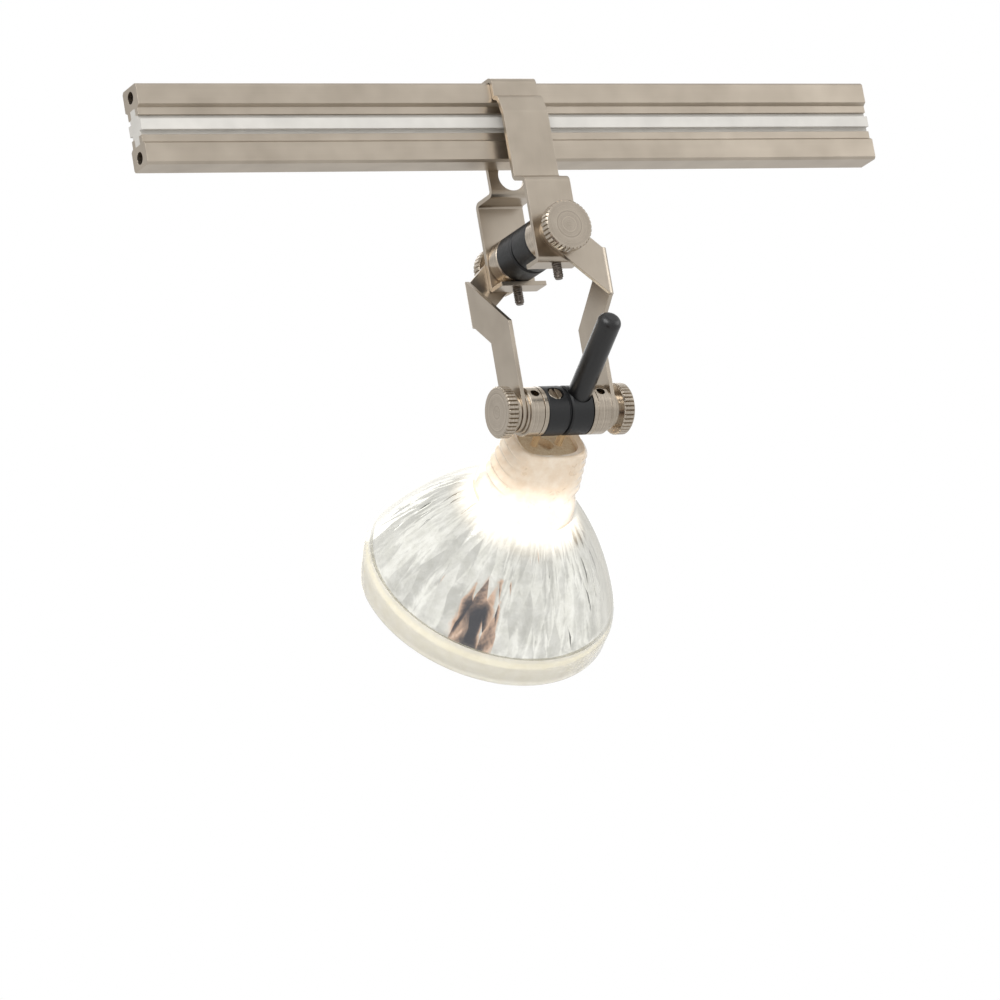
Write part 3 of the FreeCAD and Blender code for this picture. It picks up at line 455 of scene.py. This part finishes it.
def bridge(shape, first, second, smooth=True, material=0):
    """Join two closed rings of the same number of points with four-sided faces."""
    count = len(first)
    for number in range(count):
        following = (number + 1) % count
        face = shape.faces.new((first[number], first[following], second[following], second[number]))
        face.smooth = smooth
        face.material_index = material


def cap(shape, ring):
    """Close a ring with one flat face."""
    shape.faces.new(ring).smooth = False


def arc_points(start, end, radius, count):
    """Points on an arc of a radius that bulges to the left of the way from start to end."""
    start, end = Vector(start), Vector(end)
    chord = end - start
    left = Vector((-chord.y, chord.x)).normalized()
    rise = math.sqrt(radius**2 - (chord.length / 2) ** 2)
    centre = (start + end) / 2 - left * rise
    from_angle = math.atan2(start.y - centre.y, start.x - centre.x)
    to_angle = math.atan2(end.y - centre.y, end.x - centre.x)
    sweep = (to_angle - from_angle + math.pi) % (2 * math.pi) - math.pi
    steps = [from_angle + sweep * number / (count - 1) for number in range(count)]
    return [centre + radius * Vector((math.cos(step), math.sin(step))) for step in steps]


# ---------------------------------------------------------------- glass reflector

GLASS, COATING, NECK, RIM, COATING_EDGE = range(5)

# Depths are along the lamp from the lower rod. A neck ring's halves are its half-sizes.
FACET_COLUMNS = 52
AROUND = FACET_COLUMNS * 2
ROUND_POWER = 2.0

NECK_BACK = 7.2
NECK_BACK_HALVES = (7.5, 5.6)
NECK_BACK_POWER = 3.2
NECK_CORNER = 0.5
NECK_FRONT = 17.6
NECK_FRONT_HALVES = (9.0, 7.0)
NECK_FRONT_POWER = 2.7
NECK_STEPS = 28
BLEND_STEPS = 6
RIB_COUNT = 5
RIB_SWELL = 0.88
RIB_START = 0.6

# The neck's broken back edge: two half-sizes and an inset in depth for each ring.
NECK_CHAMFER = ((6.6, 4.7, 0.35), (7.0, 5.1, 0.0))

BOWL_BACK = 21.6
BOWL_FRONT = 42.0
OUTER_BACK_RADIUS = 10.1
OUTER_FRONT_RADIUS = 25.0
OUTER_ARC = 63.0
OUTER_POINTS = 22

RIM_FRONT = 48.5
RIM_RADIUS = 25.6
RIM_BORE = 24.0
RIM_LEDGE = 46.3
RIM_ROUND = 0.7
RIM_BREAK = 0.2
LEDGE_RADIUS = 23.7
LIP_RADIUS = 24.1
LIP_DEPTH = 44.9

# From the bowl's edge to the rim's outside: growth in radius and in depth.
RIM_SWELL = ((0.1, 1.4), (0.45, 1.8), (0.6, 2.4))

# The rim's rounded front corner, as shares of RIM_ROUND inward and back.
RIM_CORNER = ((0.0, 1.0), (0.2, 0.4), (0.6, 0.1), (1.0, 0.0))

COAT_BACK = 22.6
COAT_BACK_RADIUS = 9.9
COAT_FRONT = 43.4
COAT_FRONT_RADIUS = 24.35
COAT_ARC = 62.2
COAT_POINTS = 241
FACET_ROWS = 4
FACET_SEED = 4
FACET_POINT = 0.3
FACET_BULGE = 0.22
FACET_BULGE_RANGE = (0.4, 1.6)
FACET_WANDER = 0.3

CAVITY = (6.1, 4.0)
CAVITY_POWER = 3.0
CAVITY_BACK = 7.8


def oval_ring(shape, half_width, half_depth, depth, power=ROUND_POWER, ribs=0.0):
    """A ring of points on a superellipse at a depth along the lamp. Ribs push out its narrow sides."""
    ring = []
    for number in range(AROUND):
        angle = 2 * math.pi * number / AROUND
        across, along = math.cos(angle), math.sin(angle)
        reach = (abs(across) ** power + abs(along) ** power) ** (-1 / power)
        reach *= 1 + ribs * max(0.0, abs(across) - RIB_START) / half_width
        ring.append(shape.verts.new((across * reach * half_width, along * reach * half_depth, -depth)))
    return ring


def neck_rings(shape):
    """The flattened neck, ribbed on its narrow sides, that turns into the round back of the bowl."""
    rings = []
    for half_width, half_depth, inset in NECK_CHAMFER:
        rings.append(oval_ring(shape, half_width, half_depth, NECK_BACK + inset, NECK_BACK_POWER))
    ribbed_length = NECK_FRONT - NECK_BACK - NECK_CORNER
    for step in range(NECK_STEPS + 1):
        share = step / NECK_STEPS
        depth = NECK_BACK + NECK_CORNER + ribbed_length * share
        halves = mixed(NECK_BACK_HALVES, NECK_FRONT_HALVES, share)
        power = NECK_BACK_POWER + (NECK_FRONT_POWER - NECK_BACK_POWER) * share
        ribs = RIB_SWELL * (1 - math.cos(2 * math.pi * RIB_COUNT * share))
        rings.append(oval_ring(shape, *halves, depth, power, ribs))
    bowl_halves = (OUTER_BACK_RADIUS, OUTER_BACK_RADIUS)
    for step in range(1, BLEND_STEPS + 1):
        share = step / BLEND_STEPS
        ease = share * share * (3 - 2 * share)
        depth = NECK_FRONT + (BOWL_BACK - NECK_FRONT) * share
        halves = mixed(NECK_FRONT_HALVES, bowl_halves, ease)
        power = NECK_FRONT_POWER + (ROUND_POWER - NECK_FRONT_POWER) * ease
        rings.append(oval_ring(shape, *halves, depth, power))
    return rings


def round_rings(shape, outline):
    """One circular ring for each (radius, depth) of an outline."""
    return [oval_ring(shape, radius, radius, depth) for radius, depth in outline]


def facet_rings(shape):
    """Zigzag rings along the coated wall, from the rim to the back, that bound long six-sided facets."""
    wall = arc_points((COAT_FRONT_RADIUS, COAT_FRONT), (COAT_BACK_RADIUS, COAT_BACK), COAT_ARC, COAT_POINTS)
    last = len(wall) - 1
    rings = []
    for row in range(FACET_ROWS + 1):
        at_end = row in (0, FACET_ROWS)
        reach = 0.0 if at_end else FACET_POINT / FACET_ROWS
        ring = []
        for number in range(AROUND):
            side = -1 if (number + row) % 2 == 0 else 1
            share = row / FACET_ROWS + side * reach
            radius, depth = wall[round(share * last)]
            angle = 2 * math.pi * number / AROUND
            ring.append(shape.verts.new((radius * math.cos(angle), radius * math.sin(angle), -depth)))
        rings.append(ring)
    return rings


def facets(shape, rings):
    """Long six-sided facets between zigzag rings, each pillowed by its own amount."""
    chance = random.Random(FACET_SEED)
    for row in range(FACET_ROWS):
        upper, lower = rings[row], rings[row + 1]
        for number in range(row % 2, AROUND, 2):
            before, after = (number - 1) % AROUND, (number + 1) % AROUND
            corners = [upper[before], upper[number], upper[after]]
            corners += [lower[after], lower[number], lower[before]]
            middle = sum((corner.co for corner in corners), Vector()) / len(corners)
            away = Vector((middle.x, middle.y, 0)).normalized()
            aside = (corners[3].co - corners[0].co) * chance.uniform(-FACET_WANDER, FACET_WANDER)
            bulge = away * FACET_BULGE * chance.uniform(*FACET_BULGE_RANGE)
            peak = shape.verts.new(middle + aside + bulge)
            for first, second in zip(corners, corners[1:] + corners[:1]):
                face = shape.faces.new((first, second, peak))
                face.smooth = True
                face.material_index = COATING
                shape.edges.get((first, second)).smooth = False


def rim_outline():
    """The rim in section, from the bowl's edge round the front to the ledge, as (radius, depth)."""
    swell = [(OUTER_FRONT_RADIUS + out, BOWL_FRONT + ahead) for out, ahead in RIM_SWELL]
    corner = [(RIM_RADIUS - inward * RIM_ROUND, RIM_FRONT - back * RIM_ROUND) for inward, back in RIM_CORNER]
    bore = [
        (RIM_BORE + RIM_BREAK, RIM_FRONT),
        (RIM_BORE, RIM_FRONT - RIM_BREAK),
        (RIM_BORE, RIM_LEDGE),
        (LEDGE_RADIUS, RIM_LEDGE),
    ]
    return swell + corner + bore


def reflector_shape(shape):
    """One closed glass shell: ribbed neck, bowl, thick rim, ledge, faceted inner wall and base cavity."""
    back, front = (OUTER_BACK_RADIUS, BOWL_BACK), (OUTER_FRONT_RADIUS, BOWL_FRONT)
    wall = arc_points(front, back, OUTER_ARC, OUTER_POINTS)
    wall.reverse()
    neck = neck_rings(shape)
    bowl = round_rings(shape, wall[1:])
    flange = round_rings(shape, rim_outline())
    inner = facet_rings(shape)
    lip = round_rings(shape, [(LIP_RADIUS, LIP_DEPTH)])[0]
    cavity_front = oval_ring(shape, *CAVITY, COAT_BACK, CAVITY_POWER)
    cavity_back = oval_ring(shape, *CAVITY, CAVITY_BACK, CAVITY_POWER)
    stretches = [(neck, NECK), ([neck[-1]] + bowl, GLASS), ([bowl[-1]] + flange, RIM)]
    for rings, material in stretches:
        for first, second in zip(rings, rings[1:]):
            bridge(shape, first, second, material=material)
    bridge(shape, flange[-1], lip, smooth=False, material=RIM)
    bridge(shape, lip, inner[0], smooth=False, material=COATING_EDGE)
    facets(shape, inner)
    bridge(shape, inner[-1], cavity_front, smooth=False, material=COATING)
    bridge(shape, cavity_front, cavity_back, material=NECK)
    bridge(shape, cavity_back, neck[0], smooth=False, material=NECK)


def reflector():
    """The glass reflector in place on the lamp."""
    finishes = [bowl_glass(), dichroic_coating(), neck_glass(), rim_glass(), coating_edge()]
    piece = mesh_piece("reflector_glass", reflector_shape, finishes, LAMP_PLACE)
    take_over(piece, "lamp", "lamp_reflector")


# ---------------------------------------------------------------- filament

COIL_RADIUS = 0.62
COIL_WIRE = 0.13
WIRE_SIDES = 8
COIL_TURNS = 9
COIL_STEPS = 16
COIL_BACK = 29.6
COIL_FRONT = 33.9
LEAD_ROOT = 26.6
LEAD_STOP = 29.2
RETURN_TURN = 34.1
RETURN_ACROSS = -1.14
NEARLY_PARALLEL = 0.99


def tube(shape, path, radius):
    """A round closed wire along a path."""
    rings = []
    side = Vector((0, 0, 1))
    for number, point in enumerate(path):
        ahead = path[min(number + 1, len(path) - 1)]
        behind = path[max(number - 1, 0)]
        forward = (ahead - behind).normalized()
        if abs(side.dot(forward)) > NEARLY_PARALLEL:
            side = Vector((1, 0, 0))
        side = (side - forward * side.dot(forward)).normalized()
        up = forward.cross(side)
        ring = []
        for step in range(WIRE_SIDES):
            angle = 2 * math.pi * step / WIRE_SIDES
            ring.append(shape.verts.new(point + radius * (side * math.cos(angle) + up * math.sin(angle))))
        rings.append(ring)
    for first, second in zip(rings, rings[1:]):
        bridge(shape, first, second)
    cap(shape, rings[0])
    cap(shape, rings[-1])


def filament_shape(shape):
    """The wound coil with its two straight leads, as one wire."""
    steps = COIL_TURNS * COIL_STEPS
    coil = []
    for step in range(steps + 1):
        angle = 2 * math.pi * step / COIL_STEPS
        depth = COIL_BACK + (COIL_FRONT - COIL_BACK) * step / steps
        coil.append(Vector((COIL_RADIUS * math.cos(angle), COIL_RADIUS * math.sin(angle), -depth)))
    lead = [Vector((COIL_RADIUS, 0, -depth)) for depth in (LEAD_ROOT, LEAD_STOP)]
    back_lead = [Vector((RETURN_ACROSS, 0, -depth)) for depth in (RETURN_TURN, COIL_BACK, LEAD_ROOT)]
    tube(shape, lead + coil + back_lead, COIL_WIRE)


def filament():
    """The wound filament in place in the lamp."""
    piece = mesh_piece("filament_wire", filament_shape, [hot_tungsten()], LAMP_PLACE)
    take_over(piece, "lamp", "lamp_filament")


# ---------------------------------------------------------------- set screws

THREAD_PITCH = 0.45
THREAD_DEPTH = 0.14
THREAD_STEPS = 8
SCREW_SIDES = 28
END_TAPER = 0.24
TAPER_PITCHES = 1.1


def threaded_rod(radius, length):
    """A function that fills a bmesh with an upright screw: a helical thread, tapered at both ends."""
    levels = round(length / THREAD_PITCH * THREAD_STEPS)

    def build(shape):
        """Rings of points from one end to the other, joined and closed."""
        rings = []
        for level in range(levels + 1):
            height = length * level / levels
            to_end = min(height, length - height)
            taper = max(0.0, 1 - to_end / (THREAD_PITCH * TAPER_PITCHES)) * END_TAPER
            ring = []
            for number in range(SCREW_SIDES):
                turn = number / SCREW_SIDES
                phase = (height / THREAD_PITCH - turn) % 1.0
                groove = THREAD_DEPTH * (1 - abs(2 * phase - 1))
                reach = radius - groove - taper
                angle = 2 * math.pi * turn
                ring.append(shape.verts.new((reach * math.cos(angle), reach * math.sin(angle), height)))
            rings.append(ring)
        for first, second in zip(rings, rings[1:]):
            bridge(shape, first, second)
        cap(shape, rings[0])
        cap(shape, rings[-1])

    return build


def set_screws():
    """Both tab screws, each the size of the plain one it replaces."""
    steel = dark_steel()
    for end in ("front", "rear"):
        low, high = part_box(f"{end}_tab_screw")
        radius = (high.x - low.x) / 2 / MM
        length = (high.z - low.z) / MM
        middle = (low + high) / 2
        foot = Matrix.Translation((middle.x, middle.y, low.z))
        piece = mesh_piece(f"{end}_set_screw", threaded_rod(radius, length), [steel], foot)
        take_over(piece, "clip", f"{end}_tab_screw")


# ---------------------------------------------------------------- materials of the CAD nodes

# Grain of the drawn lines: cells per metre along each axis.
ALONG_THE_RAIL = (40.0, 5200.0, 5200.0)
DOWN_THE_STRIP = (5200.0, 5200.0, 130.0)

UPPER_ROD_AXIS = (0, 1, 0)
LOWER_ROD_AXIS = (1, 0, 0)
RAIL_BARS = ("upper_conductor", "lower_conductor")
SHEET_PARTS = ("front_clip_leaf", "rear_clip_leaf", "left_fork_strip", "right_fork_strip")
UPPER_TURNED_PARTS = (
    "upper_front_terminal", "upper_rear_terminal",
    "front_washer", "rear_washer",
    "front_thumbscrew", "rear_thumbscrew",
)
LOWER_TURNED_PARTS = (
    "lower_left_terminal", "lower_right_terminal",
    "lower_left_ring", "lower_right_ring",
    "lower_left_shoulder_washer", "lower_right_shoulder_washer",
    "left_washer", "right_washer",
    "left_thumbscrew", "right_thumbscrew",
    "pin_clamp_screw", "lever_stud",
)
BLACK_PARTS = (
    "upper_front_sleeve", "upper_rear_sleeve", "upper_spacer",
    "lower_left_sleeve", "lower_right_sleeve", "lower_spacer",
)
BLACK = linear(26, 27, 29)
LEVER_BLACK = linear(22, 22, 23)
PALE = linear(206, 203, 197)
CAPSULE_GLOW = 1.5


def dress(material, *names):
    """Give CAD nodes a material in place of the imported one."""
    for name in names:
        data = frame["nodes"][name].data
        data.materials.clear()
        data.materials.append(material)


def dress_metal_nodes():
    """Nickel on the rail, the sheet parts and everything turned."""
    dress(brushed_nickel("rail_nickel", ALONG_THE_RAIL, roughness=0.34), *RAIL_BARS)
    dress(brushed_nickel("sheet_nickel", DOWN_THE_STRIP), *SHEET_PARTS)
    dress(turned_nickel("upper_turned_nickel", UPPER_ROD, UPPER_ROD_AXIS), *UPPER_TURNED_PARTS)
    dress(turned_nickel("lower_turned_nickel", LOWER_ROD, LOWER_ROD_AXIS), *LOWER_TURNED_PARTS)


def dress_insulating_nodes():
    """Black sleeves and lever, and the pale strip in the rail."""
    dress(moulded("black_insulator", BLACK, roughness=0.45, coat=0.08), *BLACK_PARTS)
    grip = moulded("black_lever_grip", LEVER_BLACK, roughness=0.34, grain_scale=900.0, coat=0.2)
    dress(grip, "aiming_lever")
    dress(moulded("pale_insulator", PALE, roughness=0.5), "rail_insulator")


def dress_lamp_nodes():
    """The lamp's base, pins, cover and capsule."""
    dress(ceramic(), "lamp_base")
    dress(warm_pin_metal(), "lamp_contact_pins")
    dress(clear_glass("cover_glass"), "lamp_front_glass")
    dress(clear_glass("quartz", glow=CAPSULE_GLOW), "lamp_capsule")


# ---------------------------------------------------------------- studio and camera

FLOOR_DROP = 0.45
FLOOR_SIZE = 6.0
FLOOR_GREYS = (0.86, 0.9)
UPWARD = (0.0, 0.0, 1.0)
WHITE = (1.0, 1.0, 1.0, 1.0)
SKY_TINT = (1.0, 0.995, 0.985)
DOME_HEIGHTS = (0.0, 0.42, 0.62, 1.0)
DOME_LEVELS = (0.76, 0.77, 0.78, 0.8)
CLOUD_LEVELS = (0.76, 1.24)
CLOUD_SCALE = 4.5
CLOUD_DETAIL = 1.5
DARK_CORNER = Vector((-0.55, -0.64, -0.54))
CORNER_SHADE = (0.035, 0.035, 0.05)
CORNER_RIM = (0.74, 0.5, 0.38)
CORNER_OUTER = 20.0
CORNER_INNER = 8.0
CORNER_RIM_SHARE = 0.45
AZIMUTH = math.radians(30.0)
ELEVATION = math.radians(12.92)
ROLL = math.radians(9.66)
CAMERA_DISTANCE = 1.0725
LENS = 205.3
SENSOR = 36.0
NEAR_CLIP = 0.01
LOOK_AT = Vector((-0.0163, 0.0, -0.0741))
SOFTBOXES = {
    "key_light": {"direction": (-0.7, -1.0, 0.9), "distance": 0.9, "size": 0.6, "power": 4.5},
    "fill_light": {"direction": (1.0, -0.6, 0.3), "distance": 1.0, "size": 0.6, "power": 1.6},
    "back_light": {"direction": (0.3, 1.0, 0.6), "distance": 1.0, "size": 0.8, "power": 2.0},
}


def view_direction():
    """The way the camera looks: up at the lamp head from the front left."""
    level = math.cos(ELEVATION)
    return Vector((math.sin(AZIMUTH) * level, math.cos(AZIMUTH) * level, math.sin(ELEVATION)))


def studio_floor():
    """A plain pale floor well below the lamp. Mirrors, and a viewer from below, see the sky instead."""
    height = (cad_box[0].z - FLOOR_DROP) / MM
    half = FLOOR_SIZE / 2 / MM
    corners = [(-half, -half, height), (half, -half, height), (half, half, height), (-half, half, height)]
    look = Look("studio_floor", Roughness=0.8)
    dark, light = [(grey,) * 3 for grey in FLOOR_GREYS]
    shade = look.noise(look.place(), scale=3.0)
    look.set("Base Color", look.ramp(shade, (0.3, dark), (0.7, light)))
    toward_viewer = look.node("NewGeometry").outputs["Incoming"]
    rise = look.vector("DOT_PRODUCT", toward_viewer, UPWARD, output="Value")
    look.set("Alpha", look.math("GREATER_THAN", rise, 0.0))

    def lay(shape):
        """One square face."""
        shape.faces.new([shape.verts.new(corner) for corner in corners])

    floor = mesh_piece("studio_floor", lay, [look.material])
    floor.visible_glossy = False
    floor.visible_transmission = False


def studio_sky():
    """White to the camera. Reflections see a soft cloudy dome with one dark, warm-edged corner."""
    world = bpy.data.worlds.new("studio_sky")
    world.use_nodes = True
    sky = Nodes(world.node_tree)
    sky.tree.nodes.clear()
    direction = sky.node("TexCoord").outputs["Generated"]
    height = sky.vector("DOT_PRODUCT", direction, UPWARD, output="Value")
    greys = [tuple(level * channel for channel in SKY_TINT) for level in DOME_LEVELS]
    dome = sky.ramp(sky.spread(height, 0.0, 1.0, start=-1.0), *zip(DOME_HEIGHTS, greys))
    waves = sky.noise(direction, scale=CLOUD_SCALE, detail=CLOUD_DETAIL)
    cloud = sky.spread(waves, *CLOUD_LEVELS, start=0.35, end=0.65)
    clouded = sky.node("VectorMath", {0: dome, "Scale": cloud}, operation="SCALE").outputs["Vector"]
    toward_corner = sky.vector("DOT_PRODUCT", direction, DARK_CORNER.normalized(), output="Value")
    edges = [math.cos(math.radians(angle)) for angle in (CORNER_OUTER, CORNER_INNER)]
    shade = sky.spread(toward_corner, 0.0, 1.0, *edges, smooth=True)
    corner = sky.ramp(shade, (CORNER_RIM_SHARE, CORNER_RIM), (1.0, CORNER_SHADE))
    lit = sky.blend(sky.spread(shade, 0.0, 1.0, end=CORNER_RIM_SHARE), clouded, corner)
    seen = sky.node("LightPath").outputs["Is Camera Ray"]
    colour = sky.blend(seen, lit, WHITE)
    light = sky.node("Background", {"Color": colour})
    output = sky.node("OutputWorld")
    sky.tree.links.new(light.outputs[0], output.inputs["Surface"])
    bpy.context.scene.world = world


def softbox(name, direction, distance, size, power):
    """A square area light that looks at the middle of the object."""
    light = bpy.data.lights.new(name, "AREA")
    light.size = size
    light.energy = power
    holder = bpy.data.objects.new(name, light)
    aim = Vector(direction).normalized()
    holder.location = (cad_box[0] + cad_box[1]) / 2 + aim * distance
    holder.rotation_euler = aim.to_track_quat("Z", "Y").to_euler()
    bpy.context.scene.collection.objects.link(holder)


def camera():
    """A long lens, tipped so that the rail is level in the frame."""
    forward = view_direction()
    level_right = Vector((math.cos(AZIMUTH), -math.sin(AZIMUTH), 0.0))
    level_up = level_right.cross(forward)
    right = level_right * math.cos(ROLL) - level_up * math.sin(ROLL)
    up = level_right * math.sin(ROLL) + level_up * math.cos(ROLL)
    data = bpy.data.cameras.new("camera")
    data.lens = LENS
    data.sensor_width = SENSOR
    data.clip_start = NEAR_CLIP
    holder = bpy.data.objects.new("camera", data)
    turn = Matrix((right, up, -forward)).transposed().to_4x4()
    holder.matrix_world = Matrix.Translation(LOOK_AT - forward * CAMERA_DISTANCE) @ turn
    bpy.context.scene.collection.objects.link(holder)
    bpy.context.scene.camera = holder


dress_metal_nodes()
dress_insulating_nodes()
dress_lamp_nodes()
reflector()
filament()
set_screws()
studio_floor()
studio_sky()
for light_name, settings in SOFTBOXES.items():
    softbox(light_name, **settings)
camera()
bpy.context.scene.view_settings.view_transform = "Standard"
